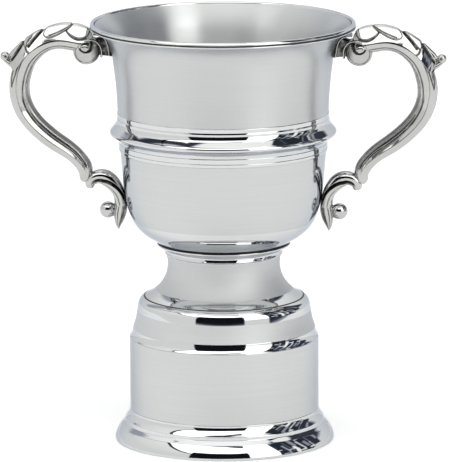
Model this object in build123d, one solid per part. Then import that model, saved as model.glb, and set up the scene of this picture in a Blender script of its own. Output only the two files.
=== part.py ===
from build123d import *
import math
import os

# Two-handled loving-cup trophy on a hollow plinth of the same metal.
# Millimetres. The origin is the centre of the underside, +Z is up the axis of the cup,
# and the two handles lie along +X and -X. Outline points are (radius, height).

# Driving dimensions: the cup
TOTAL_HEIGHT = 180.0
WALL = 1.4                      # spun sheet
SOLDER = 0.05                   # film between the bowl and what is soldered to it
RIM_RADIUS = 56.4               # outside of the rim wire
RIM_WIRE_RADIUS = 1.1
BOWL_RADIUS = 46.5              # just below the bell mouth
BOWL_SEAT_Z = 85.4              # flat underside of the bowl
BOWL_FLOOR = 2.0
GIRDLE_TOP_Z = 141.85
GIRDLE_BOTTOM_Z = 124.9

# Driving dimensions: the pedestal
COLLAR_RADIUS = 28.4
COLLAR_THICKNESS = 1.3
STEM_WAIST_RADIUS = 23.86
STEM_FOOT_RADIUS = 33.7
STEM_FOOT_Z = 62.2
PLINTH_RADIUS = 40.36
PLINTH_TOP_Z = 44.5
FOOT_TOP_Z = 13.7
FOOT_RADIUS = 46.8

# Driving dimensions: the fixings and the base
BOSS_RADIUS = 7.0
BOSS_LENGTH = 10.0
STUD_RADIUS = 3.0               # M6, thread left plain
STUD_TOP_Z = 83.2
STUD_END_Z = 3.6
BORE_CLEARANCE = 0.4
NUT_HEIGHT = 5.0
NUT_ACROSS_FLATS = 10.0
WASHER_RADIUS = 9.0
WASHER_THICKNESS = 1.0
PRESSURE_PLATE_RADIUS = 38.5
PRESSURE_PLATE_THICKNESS = 1.5
FLANGE_THICKNESS = 2.2
BASE_RECESS_RADIUS = 44.0
BASE_LAYER = 1.2                # closing disc, and again the baize

# Driving dimensions: the handles
HANDLE_WIDTH = 8.4              # across the rail, along Y
LEAF_WIDTH = 12.0
SOCKET_WIDTH = 9.6
VOLUTE_RADIUS = 5.7
VOLUTE_CENTRE = (57.8, 167.2)
LEAF_CURL_RADIUS = 2.1
LEAF_CURL_CENTRE = (92.6, 164.6)
BALL_RADIUS = 3.55
BALL_CENTRE = (49.3, 98.7)


# ---------------------------------------------------------------- helpers

def lathe(*edges):
    """Turn a closed outline of (radius, height) edges about the Z axis."""
    return revolve(Plane.XZ * make_face(Curve() + list(edges)), Axis.Z)


def inset(points, distance):
    """Shift each point of an open outline inward, square to the outline."""
    shifted = []
    for i, (r, z) in enumerate(points):
        before = points[max(i - 1, 0)]
        after = points[min(i + 1, len(points) - 1)]
        dr = after[0] - before[0]
        dz = after[1] - before[1]
        length = math.hypot(dr, dz)
        shifted.append((r + dz / length * distance, z - dr / length * distance))
    return shifted


def ring(inner, outer, low, high):
    """A plain washer-shaped solid."""
    hole = Cylinder(inner, high - low, align=(Align.CENTER, Align.CENTER, Align.MIN))
    disc = Cylinder(outer, high - low, align=(Align.CENTER, Align.CENTER, Align.MIN))
    return Pos(0, 0, low) * (disc - hole)


def slab(outline, width):
    """A solid of the given Y width from a closed outline in the handle's plane."""
    return extrude(Plane.XZ * make_face(outline), width / 2, both=True)


# ---------------------------------------------------------------- the cup

BOWL_OUTSIDE = [
    (54.9, 178.2),
    (52.0, 175.9),
    (49.5, 173.2),
    (47.9, 170.2),
    (47.1, 167.2),
    (BOWL_RADIUS, 162.5),
    (45.7, 156.0),
    (45.2, 150.4),
    (44.9, 145.0),
    (44.65, 139.5),
    (44.2, 132.0),
    (43.7, 124.0),
    (43.1, 116.5),
    (42.4, 109.0),
    (41.2, 102.0),
    (39.3, 96.2),
    (37.4, 92.9),
    (35.4, 90.7),
    (33.4, 89.05),
    (30.9, 87.5),
    (28.0, BOWL_SEAT_Z),
]


def bowl_envelope():
    """The outside of the bowl and its solder film as a full solid, to cut what meets it."""
    film = inset(BOWL_OUTSIDE, -SOLDER)
    closing = Polyline(film[-1], (0, film[-1][1]), (0, film[0][1]), film[0])
    return lathe(Spline(*film), closing)


def cup_bowl():
    """Spun bowl with a bell mouth, open at the top and flat underneath."""
    inside = inset(BOWL_OUTSIDE[:-2], WALL)
    floor_z = BOWL_SEAT_Z + BOWL_FLOOR
    inside.append((26.0, floor_z))
    lip = Line(inside[0], BOWL_OUTSIDE[0])
    floor = Polyline(BOWL_OUTSIDE[-1], (0, BOWL_SEAT_Z), (0, floor_z), inside[-1])
    return lathe(Spline(*BOWL_OUTSIDE), floor, Spline(*inside), lip)


def rim_wire(bowl):
    """Half-round wire closed over the lip."""
    centre_radius = RIM_RADIUS - RIM_WIRE_RADIUS
    centre_z = TOTAL_HEIGHT - RIM_WIRE_RADIUS
    return Pos(0, 0, centre_z) * Torus(centre_radius, RIM_WIRE_RADIUS) - bowl


def girdle_band(envelope):
    """Moulded belt soldered round the waist: band, cove, nosing, cove and flat."""
    nosing = Spline(
        (45.14, 139.3),
        (45.37, 138.0),
        (45.97, 136.6),
        (47.1, 135.08),
        (48.0, 133.9),
        (48.18, 133.3),
        (47.8, 132.5),
        (46.25, 131.25),
        (44.8, 129.8),
        (44.42, 128.95),
    )
    outline = Curve() + [
        Polyline((43.0, GIRDLE_TOP_Z), (44.7, GIRDLE_TOP_Z), (45.02, 141.5), (44.98, 139.65), (45.14, 139.3)),
        nosing,
        Polyline((44.42, 128.95), (44.3, 125.2), (44.0, GIRDLE_BOTTOM_Z), (43.0, GIRDLE_BOTTOM_Z)),
        Line((43.0, GIRDLE_BOTTOM_Z), (43.0, GIRDLE_TOP_Z)),
    ]
    return revolve(Plane.XZ * make_face(outline), Axis.Z) - envelope


# ---------------------------------------------------------------- the pedestal

COLLAR_BOTTOM_Z = BOWL_SEAT_Z - COLLAR_THICKNESS
BOSS_HOLE_RADIUS = BOSS_RADIUS + BORE_CLEARANCE


def stem_collar():
    """Flat ring with a rounded edge between the bowl and the stem."""
    collar = ring(BOSS_HOLE_RADIUS, COLLAR_RADIUS, COLLAR_BOTTOM_Z, BOWL_SEAT_Z)
    rim_edges = collar.edges().filter_by(GeomType.CIRCLE).sort_by(SortBy.RADIUS)[-2:]
    return fillet(rim_edges, 0.45 * COLLAR_THICKNESS)


def stem():
    """Waisted hollow stem, closed above by the flange that the collar sits on."""
    outside = [
        (26.3, COLLAR_BOTTOM_Z),
        (25.2, 81.9),
        (24.15, 78.8),
        (STEM_WAIST_RADIUS, 75.8),
        (24.35, 72.6),
        (25.75, 69.1),
        (28.4, 65.6),
        (30.1, 64.2),
        (STEM_FOOT_RADIUS, STEM_FOOT_Z),
    ]
    inside = [
        (23.4, COLLAR_BOTTOM_Z - WALL),
        (STEM_WAIST_RADIUS - WALL, 75.9),
        (23.9, 69.2),
        (27.0, 64.6),
        (30.6, STEM_FOOT_Z),
    ]
    flange = Polyline(
        inside[0],
        (BOSS_HOLE_RADIUS, COLLAR_BOTTOM_Z - WALL),
        (BOSS_HOLE_RADIUS, COLLAR_BOTTOM_Z),
        outside[0],
    )
    return lathe(Spline(*outside), Line(outside[-1], inside[-1]), Spline(*inside), flange)


def shoulder():
    """Domed top of the plinth: a dome, a shallow cove and a flare out to the band."""
    dome = Spline(
        (STEM_FOOT_RADIUS, STEM_FOOT_Z),
        (35.05, 61.4),
        (36.05, 60.4),
        (36.66, 59.1),
        (36.97, 57.0),
        (37.3, 54.6),
        (37.85, 51.6),
        (38.9, 48.35),
    )
    flare = Spline((38.9, 48.35), (39.25, 46.6), (40.05, 45.0), (PLINTH_RADIUS, PLINTH_TOP_Z))
    inner = Polyline(
        (PLINTH_RADIUS, PLINTH_TOP_Z),
        (38.0, PLINTH_TOP_Z),
        (37.0, 48.5),
        (35.6, 56.0),
        (34.6, 58.6),
        (32.0, 60.6),
        (30.6, 60.6),
        (30.6, STEM_FOOT_Z),
        (STEM_FOOT_RADIUS, STEM_FOOT_Z),
    )
    return lathe(dome, flare, inner)


def plinth_band():
    """Plain cylindrical wall of the plinth."""
    return ring(PLINTH_RADIUS - WALL, PLINTH_RADIUS, FOOT_TOP_Z, PLINTH_TOP_Z)


def foot_moulding():
    """Stepped foot of two ovolos with a flange inside and a recess underneath."""
    flange_z = FOOT_TOP_Z - FLANGE_THICKNESS
    recess_z = 2 * BASE_LAYER
    upper = Spline(
        (PLINTH_RADIUS, FOOT_TOP_Z),
        (40.6, 12.65),
        (41.3, 11.55),
        (42.05, 10.45),
        (42.4, 9.4),
        (42.47, 7.75),
    )
    lower = Spline(
        (42.47, 7.75),
        (44.15, 6.2),
        (45.4, 4.8),
        (46.28, 3.42),
        (46.74, 2.2),
        (FOOT_RADIUS, 0.8),
    )
    inner = Polyline(
        (FOOT_RADIUS, 0.8),
        (46.6, 0),
        (BASE_RECESS_RADIUS, 0),
        (BASE_RECESS_RADIUS, recess_z),
        (42.6, recess_z),
        (41.0, 8.0),
        (39.2, flange_z),
        (35.0, flange_z),
        (35.0, FOOT_TOP_Z),
        (PLINTH_RADIUS, FOOT_TOP_Z),
    )
    return lathe(upper, lower, inner)


# ---------------------------------------------------------------- fixings and base

PLATE_TOP_Z = FOOT_TOP_Z - FLANGE_THICKNESS
PLATE_BOTTOM_Z = PLATE_TOP_Z - PRESSURE_PLATE_THICKNESS
WASHER_BOTTOM_Z = PLATE_BOTTOM_Z - WASHER_THICKNESS
STUD_HOLE_RADIUS = STUD_RADIUS + BORE_CLEARANCE


def upright(radius, low, high):
    """A cylinder on the Z axis between two heights."""
    return Pos(0, 0, low) * Cylinder(radius, high - low, align=(Align.CENTER, Align.CENTER, Align.MIN))


def bowl_boss(stud):
    """Threaded boss soldered under the bowl."""
    return upright(BOSS_RADIUS, BOWL_SEAT_Z - BOSS_LENGTH, BOWL_SEAT_Z) - stud


def tie_stud():
    """Stud that draws the bowl, stem, shoulder and plinth down on the foot."""
    return upright(STUD_RADIUS, STUD_END_Z, STUD_TOP_Z)


def pressure_plate():
    """Disc under the foot's flange that spreads the pull of the stud."""
    return ring(STUD_HOLE_RADIUS, PRESSURE_PLATE_RADIUS, PLATE_BOTTOM_Z, PLATE_TOP_Z)


def stud_washer():
    """Washer between the plate and the nut."""
    return ring(STUD_HOLE_RADIUS, WASHER_RADIUS, WASHER_BOTTOM_Z, PLATE_BOTTOM_Z)


def stud_nut(stud):
    """Hexagon nut on the end of the stud."""
    hexagon = RegularPolygon(NUT_ACROSS_FLATS / 2, 6, major_radius=False)
    low = WASHER_BOTTOM_Z - NUT_HEIGHT
    return extrude(Pos(0, 0, low) * hexagon, NUT_HEIGHT) - stud


def closing_disc():
    """Thin disc that closes the recess under the foot."""
    return upright(BASE_RECESS_RADIUS, BASE_LAYER, 2 * BASE_LAYER)


def baize_pad():
    """Baize glued to the closing disc, flush with the metal edge."""
    return upright(BASE_RECESS_RADIUS, 0, BASE_LAYER)


# ---------------------------------------------------------------- one handle, on +X

# Stations of the main scroll from the volute to the blunt lug:
# (radius, height, thickness across the bend, width along Y)
RAIL = [
    (60.0, 169.6, 5.6, 7.4),
    (64.0, 170.5, 6.4, HANDLE_WIDTH),
    (69.0, 171.1, 6.3, HANDLE_WIDTH),
    (74.6, 170.0, 6.3, HANDLE_WIDTH),
    (79.4, 167.2, 7.2, HANDLE_WIDTH),
    (83.2, 163.2, 8.1, HANDLE_WIDTH),
    (85.4, 158.2, 8.5, HANDLE_WIDTH),
    (86.6, 152.0, 8.6, HANDLE_WIDTH),
    (85.7, 145.0, 8.6, HANDLE_WIDTH),
    (82.5, 138.6, 8.5, HANDLE_WIDTH),
    (77.2, 132.8, 8.3, HANDLE_WIDTH),
    (71.0, 127.9, 8.0, HANDLE_WIDTH),
    (65.1, 123.9, 7.3, 8.0),
    (60.9, 119.8, 6.8, 7.6),
    (58.8, 115.6, 6.2, 7.2),
    (59.0, 112.8, 4.8, 6.4),
    (59.5, 110.8, 2.0, 4.0),
]


def headings(points):
    """Direction of travel at each (radius, height) point of an open line."""
    found = []
    for i in range(len(points)):
        before = points[max(i - 1, 0)]
        after = points[min(i + 1, len(points) - 1)]
        found.append(Vector(after[0] - before[0], 0, after[1] - before[1]).normalized())
    return found


def handle_rail():
    """Main S-scroll, an oval bar whose thickness changes along its bends."""
    sections = []
    for (r, z, thickness, width), heading in zip(RAIL, headings(RAIL)):
        station = Plane(origin=(r, 0, z), x_dir=(0, 1, 0), z_dir=heading)
        sections.append(station * Ellipse(width / 2, thickness / 2))
    return loft(sections)


def volute():
    """Curled end of the scroll under the rim, with a raised button."""
    r, z = VOLUTE_CENTRE
    curl = Cylinder(VOLUTE_RADIUS, HANDLE_WIDTH)
    curl = fillet(curl.edges().filter_by(GeomType.CIRCLE), 1.2)
    button = Cylinder(1.6, HANDLE_WIDTH + 1.2)
    return Pos(r, 0, z) * Rot(90, 0, 0) * (curl + button)


def upper_socket():
    """Ridged bracket between the volute and the wall of the bowl."""
    block = Polyline(
        (43.0, 174.2),
        (51.6, 174.2),
        (54.6, 173.0),
        (54.6, 165.4),
        (43.0, 165.0),
        close=True,
    )
    ridge = Polyline((50.2, 174.2), (51.6, 174.2), (50.4, 165.0), (49.0, 165.0), close=True)
    return slab(block, SOCKET_WIDTH) + slab(ridge, SOCKET_WIDTH + 1.2)


def acanthus_leaf():
    """Leaf that lies over the top of the rail, from the rim to the outer bend."""
    top = Spline(
        (56.9, 176.0),
        (60.6, 178.4),
        (66.0, 179.3),
        (72.0, 178.5),
        (78.4, 175.9),
        (84.2, 172.2),
        (88.6, 168.3),
        (91.2, 164.6),
    )
    end = Line((91.2, 164.6), (88.6, 159.6))
    under = Spline((88.6, 159.6), (84.0, 165.6), (78.0, 170.0), (69.4, 172.2), (59.0, 171.4))
    start = Line((59.0, 171.4), (56.9, 176.0))
    leaf = slab(Curve() + [top, end, under, start], LEAF_WIDTH)
    plan = Plane.XY * Pos(74.0, 0) * Ellipse(20.5, LEAF_WIDTH / 2)
    tapered = extrude(plan, 2 * TOTAL_HEIGHT)
    return leaf & tapered


def leaf_curl():
    """Small rolled tip where the leaf ends beyond the bend."""
    r, z = LEAF_CURL_CENTRE
    roll = Cylinder(LEAF_CURL_RADIUS, 0.5 * HANDLE_WIDTH)
    return Pos(r, 0, z) * Rot(90, 0, 0) * fillet(roll.edges().filter_by(GeomType.CIRCLE), 0.8)


def lower_scroll():
    """C-shaped bracket from the lug of the rail down to the wall of the bowl."""
    over = Spline(
        (57.2, 113.4),
        (55.2, 115.7),
        (51.6, 115.9),
        (48.0, 114.4),
        (44.4, 111.2),
        (42.2, 106.8),
        (40.0, 101.0),
    )
    under = Spline((46.6, 101.4), (46.9, 105.2), (49.4, 108.9), (52.6, 109.8), (55.4, 108.6))
    tip = ThreePointArc((55.4, 108.6), (57.9, 109.6), (57.2, 113.4))
    foot = Line((40.0, 101.0), (46.6, 101.4))
    return slab(Curve() + [over, foot, under, tip], HANDLE_WIDTH - 1.0)


def tail_leaf():
    """Pointed leaf that hangs below the wall contact and bends away from the bowl."""
    outer = Spline((46.6, 101.4), (46.9, 97.8), (46.7, 94.0), (44.9, 90.2))
    inner = Spline((44.9, 90.2), (43.2, 93.4), (41.8, 98.2), (40.0, 101.0))
    top = Line((40.0, 101.0), (46.6, 101.4))
    return slab(Curve() + [outer, inner, top], HANDLE_WIDTH - 2.0)


def lower_ball():
    """Round bead that stands off the root of the tail leaf."""
    r, z = BALL_CENTRE
    return Pos(r, 0, z) * Sphere(BALL_RADIUS)


def handle_nodes(envelope, rim):
    """All the castings of the +X handle, each cut clear of those it meets."""
    curl = volute()
    rail = handle_rail() - curl
    leaf = acanthus_leaf() - rim - envelope - rail - curl
    socket = upper_socket() - envelope - curl - rim - leaf - rail
    tip = leaf_curl() - leaf - rail
    scroll = lower_scroll() - envelope - rail
    tail = tail_leaf() - envelope - scroll
    ball = lower_ball() - tail - scroll
    return {
        "handle_rail": rail,
        "handle_volute": curl,
        "handle_socket": socket,
        "acanthus_leaf": leaf,
        "leaf_curl": tip,
        "lower_scroll": scroll,
        "tail_leaf": tail,
        "lower_ball": ball,
    }


# ---------------------------------------------------------------- build and write

def build():
    """Every node of the trophy by name."""
    envelope = bowl_envelope()
    bowl = cup_bowl()
    rim = rim_wire(bowl)
    stud = tie_stud()
    nodes = {
        "cup_bowl": bowl,
        "rim_wire": rim,
        "girdle_band": girdle_band(envelope),
        "stem_collar": stem_collar(),
        "stem": stem(),
        "shoulder": shoulder(),
        "plinth_band": plinth_band(),
        "foot_moulding": foot_moulding(),
        "bowl_boss": bowl_boss(stud),
        "tie_stud": stud,
        "pressure_plate": pressure_plate(),
        "stud_washer": stud_washer(),
        "stud_nut": stud_nut(stud),
        "closing_disc": closing_disc(),
        "baize_pad": baize_pad(),
    }
    for name, solid in handle_nodes(envelope, rim).items():
        nodes[name + "_right"] = solid
        nodes[name + "_left"] = mirror(solid, Plane.YZ)
    return nodes


def main():
    os.makedirs("parts", exist_ok=True)
    for name, solid in build().items():
        export_step(solid, os.path.join("parts", name + ".step"))


main()
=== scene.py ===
import math
from functools import partial

import bmesh
import bpy
import numpy as np
from mathutils import Matrix, Vector


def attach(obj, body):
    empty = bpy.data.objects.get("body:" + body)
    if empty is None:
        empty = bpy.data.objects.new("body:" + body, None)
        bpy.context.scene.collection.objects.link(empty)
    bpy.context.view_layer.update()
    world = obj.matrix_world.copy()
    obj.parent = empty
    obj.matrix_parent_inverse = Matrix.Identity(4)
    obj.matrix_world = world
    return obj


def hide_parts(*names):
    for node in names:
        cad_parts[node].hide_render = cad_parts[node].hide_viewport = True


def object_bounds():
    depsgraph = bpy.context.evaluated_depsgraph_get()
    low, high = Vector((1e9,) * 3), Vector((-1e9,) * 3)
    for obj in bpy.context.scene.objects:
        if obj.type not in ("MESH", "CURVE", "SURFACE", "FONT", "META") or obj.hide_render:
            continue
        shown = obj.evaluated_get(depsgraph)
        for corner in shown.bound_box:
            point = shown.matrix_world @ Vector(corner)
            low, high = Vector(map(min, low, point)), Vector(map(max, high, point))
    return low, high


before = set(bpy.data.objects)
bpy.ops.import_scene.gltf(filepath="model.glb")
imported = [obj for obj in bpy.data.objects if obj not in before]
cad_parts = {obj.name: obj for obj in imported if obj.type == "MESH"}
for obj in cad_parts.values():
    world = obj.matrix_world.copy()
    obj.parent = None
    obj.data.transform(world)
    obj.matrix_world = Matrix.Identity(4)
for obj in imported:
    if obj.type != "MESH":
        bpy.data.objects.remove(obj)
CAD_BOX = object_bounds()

# Two-handled loving-cup trophy. Outlines are in millimetres, as (radius, height) about the
# Z axis, and MM turns them into the frame's metres. Handles lie along +X and -X.

MM = 0.001
BODY = "root"
SEGMENTS = 224                  # round the axis
EDGE_ROUND = 0.18               # softening of a turned corner
SHARP = math.radians(9.0)       # turns above this are corners
TINY = 1e-6
BEND_STEP = math.radians(4.0)   # longest turn between two points of an outline
LENGTH_STEP = 2.2               # longest run between two points of an outline


# ---- curves

def natural_cubic(at, values, wanted):
    """Natural cubic spline through values at the given places, read at wanted."""
    n = len(at)
    gap = np.diff(at)
    system = np.eye(n)
    right = np.zeros(n)
    for i in range(1, n - 1):
        system[i, i - 1] = gap[i - 1]
        system[i, i] = 2 * (gap[i - 1] + gap[i])
        system[i, i + 1] = gap[i]
        slope_after = (values[i + 1] - values[i]) / gap[i]
        slope_before = (values[i] - values[i - 1]) / gap[i - 1]
        right[i] = 6 * (slope_after - slope_before)
    bend = np.linalg.solve(system, right)
    k = np.clip(np.searchsorted(at, wanted, side="right") - 1, 0, n - 2)
    h = gap[k]
    a = (at[k + 1] - wanted) / h
    b = (wanted - at[k]) / h
    straight = a * values[k] + b * values[k + 1]
    return straight + ((a**3 - a) * bend[k] + (b**3 - b) * bend[k + 1]) * h**2 / 6


def dense(points, count):
    """Evenly spaced points on the smooth curve through a few rows of numbers."""
    rows = np.array(points, float)
    run = np.hypot(*np.diff(rows[:, :2], axis=0).T)
    at = np.concatenate([[0.0], np.cumsum(run)])
    wanted = np.linspace(0, at[-1], count)
    return np.column_stack([natural_cubic(at, column, wanted) for column in rows.T])


def thinned(line):
    """The points of a fine line that its bends and its length need."""
    kept = [0]
    step = np.diff(line, axis=0)
    length = np.hypot(*step.T)
    heading = np.unwrap(np.arctan2(step[:, 1], step[:, 0]))
    run = 0.0
    for i in range(1, len(line) - 1):
        run += length[i - 1]
        turned = abs(heading[i] - heading[kept[-1]])
        if turned > BEND_STEP or run > LENGTH_STEP:
            kept.append(i)
            run = 0.0
    kept.append(len(line) - 1)
    return line[kept]


def curve(*points):
    """A smooth span through the points."""
    rough = np.hypot(*np.diff(np.array(points, float), axis=0).T).sum()
    return thinned(dense(points, max(80, int(rough / 0.05))))


def arc(centre, radius, start, end):
    """Part of a circle between two angles in degrees."""
    count = max(3, int(abs(math.radians(end - start)) / BEND_STEP) + 1)
    angle = np.radians(np.linspace(start, end, count))
    return np.array(centre) + radius * np.column_stack([np.cos(angle), np.sin(angle)])


def line(*points):
    """Straight runs from point to point, one span for each run."""
    return [np.array(pair, float) for pair in zip(points[:-1], points[1:])]


def shortened(span, at_start, at_end):
    """A span with a little cut off its ends."""
    run = np.hypot(*np.diff(span, axis=0).T)
    at = np.concatenate([[0.0], np.cumsum(run)])
    low = min(at_start, 0.3 * at[-1])
    high = at[-1] - min(at_end, 0.3 * at[-1])
    ends = [[np.interp(x, at, span[:, 0]), np.interp(x, at, span[:, 1])] for x in (low, high)]
    middle = list(span[(at > low + TINY) & (at < high - TINY)])
    if not middle:
        middle = [0.5 * (np.array(ends[0]) + np.array(ends[1]))]
    return np.array([ends[0], *middle, ends[1]])


def joined(spans, closed):
    """One outline from spans that meet end to end, with every sharp meeting softened."""
    count = len(spans)
    corner = []
    for i, span in enumerate(spans):
        following = spans[(i + 1) % count]
        u = span[-1] - span[-2]
        w = following[1] - following[0]
        turn = abs(math.atan2(u[0] * w[1] - u[1] * w[0], float(u @ w)))
        last = i == count - 1 and not closed
        corner.append(0.0 if last or turn < SHARP else EDGE_ROUND)
    outline = []
    for i, span in enumerate(spans):
        before = corner[i - 1] if closed or i > 0 else 0.0
        part = shortened(span, before, corner[i])
        outline.extend(part if before > 0 or not outline else part[1:])
        if corner[i] > 0:
            start, tip = part[-1], span[-1]
            following = spans[(i + 1) % count]
            after = corner[(i + 1) % count] if closed or i + 1 < count - 1 else 0.0
            end = shortened(following, corner[i], after)[0]
            for t in (0.25, 0.5, 0.75):
                outline.append((1 - t)**2 * start + 2 * t * (1 - t) * tip + t**2 * end)
    outline = np.array(outline)
    if closed and np.hypot(*(outline[0] - outline[-1])) < TINY:
        outline = outline[:-1]
    return outline


# ---- meshes

def piece(name, points, faces, materials, replaces, finish=None, shade_paint=None):
    """A finished piece from points in millimetres, riding on the trophy's one body."""
    mesh = bpy.data.meshes.new(name)
    mesh.from_pydata([tuple(p * MM) for p in np.asarray(points, float)], [], faces)
    for material in materials:
        mesh.materials.append(material)
    if finish is not None:
        mesh.polygons.foreach_set("material_index", finish)
    if shade_paint is not None:
        attribute = mesh.attributes.new("shade_paint", "FLOAT", "POINT")
        attribute.data.foreach_set("value", np.clip(shade_paint, 0, 1).astype(np.float32))
    work = bmesh.new()
    work.from_mesh(mesh)
    bmesh.ops.recalc_face_normals(work, faces=work.faces)
    work.to_mesh(mesh)
    work.free()
    mesh.polygons.foreach_set("use_smooth", [True] * len(mesh.polygons))
    obj = bpy.data.objects.new(name, mesh)
    bpy.context.scene.collection.objects.link(obj)
    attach(obj, BODY)
    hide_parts(*replaces)
    return obj


def lathe(name, spans, materials, finish=None):
    """A turned piece. An outline that starts and ends on the axis is open there."""
    on_axis = abs(spans[0][0][0]) < TINY
    outline = joined(spans, closed=not on_axis)
    angle = np.linspace(0, 2 * math.pi, SEGMENTS, endpoint=False)
    rows, points = [], []
    for radius, height in outline:
        if radius < TINY:
            rows.append([len(points)])
            points.append((0.0, 0.0, height))
        else:
            rows.append(list(range(len(points), len(points) + SEGMENTS)))
            ring = np.column_stack([radius * np.cos(angle), radius * np.sin(angle)])
            points.extend((x, y, height) for x, y in ring)
    faces, kinds = [], []
    count = len(outline)
    for j in range(count if not on_axis else count - 1):
        low, high = rows[j], rows[(j + 1) % count]
        middle = 0.5 * (outline[j] + outline[(j + 1) % count])
        kind = finish(*middle) if finish else 0
        for i in range(SEGMENTS):
            k = (i + 1) % SEGMENTS
            corners = [low[i % len(low)], low[k % len(low)], high[k % len(high)], high[i % len(high)]]
            faces.append([c for n, c in enumerate(corners) if c not in corners[:n]])
            kinds.append(kind)
    return piece(name + "_turned", points, faces, materials, [name], kinds)


def tube(rings, marks):
    """Points, faces and painted-shade marks of a closed skin over rings of equal length."""
    count, around = len(rings), len(rings[0])
    points = np.concatenate(rings)
    shade_paint = np.concatenate(marks)
    faces = []
    for j in range(count - 1):
        for i in range(around):
            k = (i + 1) % around
            faces.append([j * around + i, j * around + k, (j + 1) * around + k, (j + 1) * around + i])
    for j in (0, count - 1):
        hub = len(points)
        points = np.vstack([points, rings[j].mean(axis=0)])
        shade_paint = np.append(shade_paint, marks[j].mean())
        for i in range(around):
            k = (i + 1) % around
            faces.append([hub, j * around + i, j * around + k])
    return points, faces, shade_paint


def together(parts):
    """Several skins as one set of points, faces and marks."""
    points, faces, marks, offset = [], [], [], 0
    for part_points, part_faces, part_marks in parts:
        points.append(part_points)
        marks.append(part_marks)
        faces.extend([i + offset for i in face] for face in part_faces)
        offset += len(part_points)
    return np.vstack(points), faces, np.concatenate(marks)


def on_both_sides(name, skin, material):
    """The same casting on the +X handle and, mirrored, on the -X handle."""
    points, faces, marks = skin
    for side, sign in (("right", 1), ("left", -1)):
        placed = points * np.array([sign, 1, 1])
        node = name + "_" + side
        piece(node + "_cast", placed, faces, [material], [node], shade_paint=marks)


# ---- materials

def new_material(name):
    """An empty node material with its shader and its node tree."""
    material = bpy.data.materials.new(name)
    material.use_nodes = True
    tree = material.node_tree
    shader = next(n for n in tree.nodes if n.type == "BSDF_PRINCIPLED")
    return material, tree, shader


def link(tree, output, socket):
    tree.links.new(output, socket)


def add(tree, kind, **settings):
    """A node with the given attributes."""
    node = tree.nodes.new(kind)
    for key, value in settings.items():
        setattr(node, key, value)
    return node


def fill(node, inputs):
    """Sets inputs by name or number, to a value or to the output of another node."""
    for key, value in inputs.items():
        if isinstance(value, bpy.types.NodeSocket):
            link(node.id_data, value, node.inputs[key])
        else:
            node.inputs[key].default_value = value


def spread(tree, value, low, high, to_low, to_high):
    """value remapped from one range to another, clamped."""
    node = add(tree, "ShaderNodeMapRange", clamp=True)
    fill(node, {"Value": value, "From Min": low, "From Max": high, "To Min": to_low, "To Max": to_high})
    return node.outputs["Result"]


def calculate(tree, operation, *values):
    """The result of a sum on numbers or outputs."""
    node = add(tree, "ShaderNodeMath", operation=operation)
    fill(node, dict(enumerate(values)))
    return node.outputs[0]


def turned_coordinates(tree, along, across):
    """Coordinates that run slowly round the axis and fast across it, for turning marks."""
    place = add(tree, "ShaderNodeTexCoord")
    split = add(tree, "ShaderNodeSeparateXYZ")
    link(tree, place.outputs["Object"], split.inputs[0])
    flat = add(tree, "ShaderNodeCombineXYZ")
    link(tree, split.outputs["X"], flat.inputs["X"])
    link(tree, split.outputs["Y"], flat.inputs["Y"])
    radius = add(tree, "ShaderNodeVectorMath", operation="LENGTH")
    link(tree, flat.outputs[0], radius.inputs[0])
    scaled = add(tree, "ShaderNodeCombineXYZ")
    for axis, factor in (("X", along), ("Y", along), ("Z", across)):
        link(tree, calculate(tree, "MULTIPLY", split.outputs[axis], factor), scaled.inputs[axis])
    return scaled.outputs[0], calculate(tree, "MULTIPLY", radius.outputs["Value"], across)


def turning_marks(tree, along, across, detail):
    """Noise drawn out round the axis, as fine brushing leaves it."""
    vector, fourth = turned_coordinates(tree, along, across)
    noise = add(tree, "ShaderNodeTexNoise", noise_dimensions="4D")
    fill(noise, {"Vector": vector, "W": fourth, "Scale": 1.0, "Detail": detail, "Roughness": 0.6})
    return noise.outputs["Fac"]


def cloudy(tree, scale, detail):
    """Plain noise in the piece's own space."""
    place = add(tree, "ShaderNodeTexCoord")
    noise = add(tree, "ShaderNodeTexNoise")
    fill(noise, {"Vector": place.outputs["Object"], "Scale": scale, "Detail": detail})
    return noise.outputs["Fac"]


def tinted(tree, factor, dark, light):
    """A colour between two, by factor."""
    mix = add(tree, "ShaderNodeMix", data_type="RGBA")
    fill(mix, {"Factor": factor, 6: (*dark, 1), 7: (*light, 1)})
    return mix.outputs[2]


def bumped(tree, height, strength, distance, shader):
    """Relief from a height, on the shader's normal."""
    bump = add(tree, "ShaderNodeBump")
    fill(bump, {"Strength": strength, "Distance": distance, "Height": height})
    fill(shader, {"Normal": bump.outputs["Normal"]})


def turned_metal(name, tones, roughness, anisotropic, marks_across, relief):
    """Pewter finished on the lathe: marks round the axis spread the shine up and down."""
    material, tree, shader = new_material(name)
    tangent = add(tree, "ShaderNodeTangent", direction_type="RADIAL", axis="Z")
    marks = turning_marks(tree, along=24, across=marks_across, detail=3)
    fill(shader, {
        "Metallic": 1.0,
        "Specular Tint": (0.66, 0.69, 0.75, 1),
        "Anisotropic": anisotropic,
        "Anisotropic Rotation": 0.25,
        "Tangent": tangent.outputs[0],
        "Base Color": tinted(tree, marks, *tones),
        "Roughness": spread(tree, marks, 0.3, 0.7, *roughness),
    })
    bumped(tree, marks, relief, 0.00003, shader)
    return material


def satin_pewter():
    """Soft satin of the waist and the cove."""
    tones = (0.605, 0.615, 0.615), (0.72, 0.73, 0.73)
    return turned_metal("satin_pewter", tones, (0.62, 0.72), 0.25, 1800, 0.1)


def brushed_pewter():
    """Brushed inside of the bowl."""
    tones = (0.69, 0.7, 0.7), (0.79, 0.8, 0.8)
    return turned_metal("brushed_pewter", tones, (0.4, 0.48), 0.98, 2600, 0.14)


def soft_pewter():
    """Softly finished upper wall of the bowl."""
    tones = (0.515, 0.525, 0.525), (0.595, 0.605, 0.605)
    return turned_metal("soft_pewter", tones, (0.32, 0.4), 0.45, 2200, 0.08)


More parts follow.
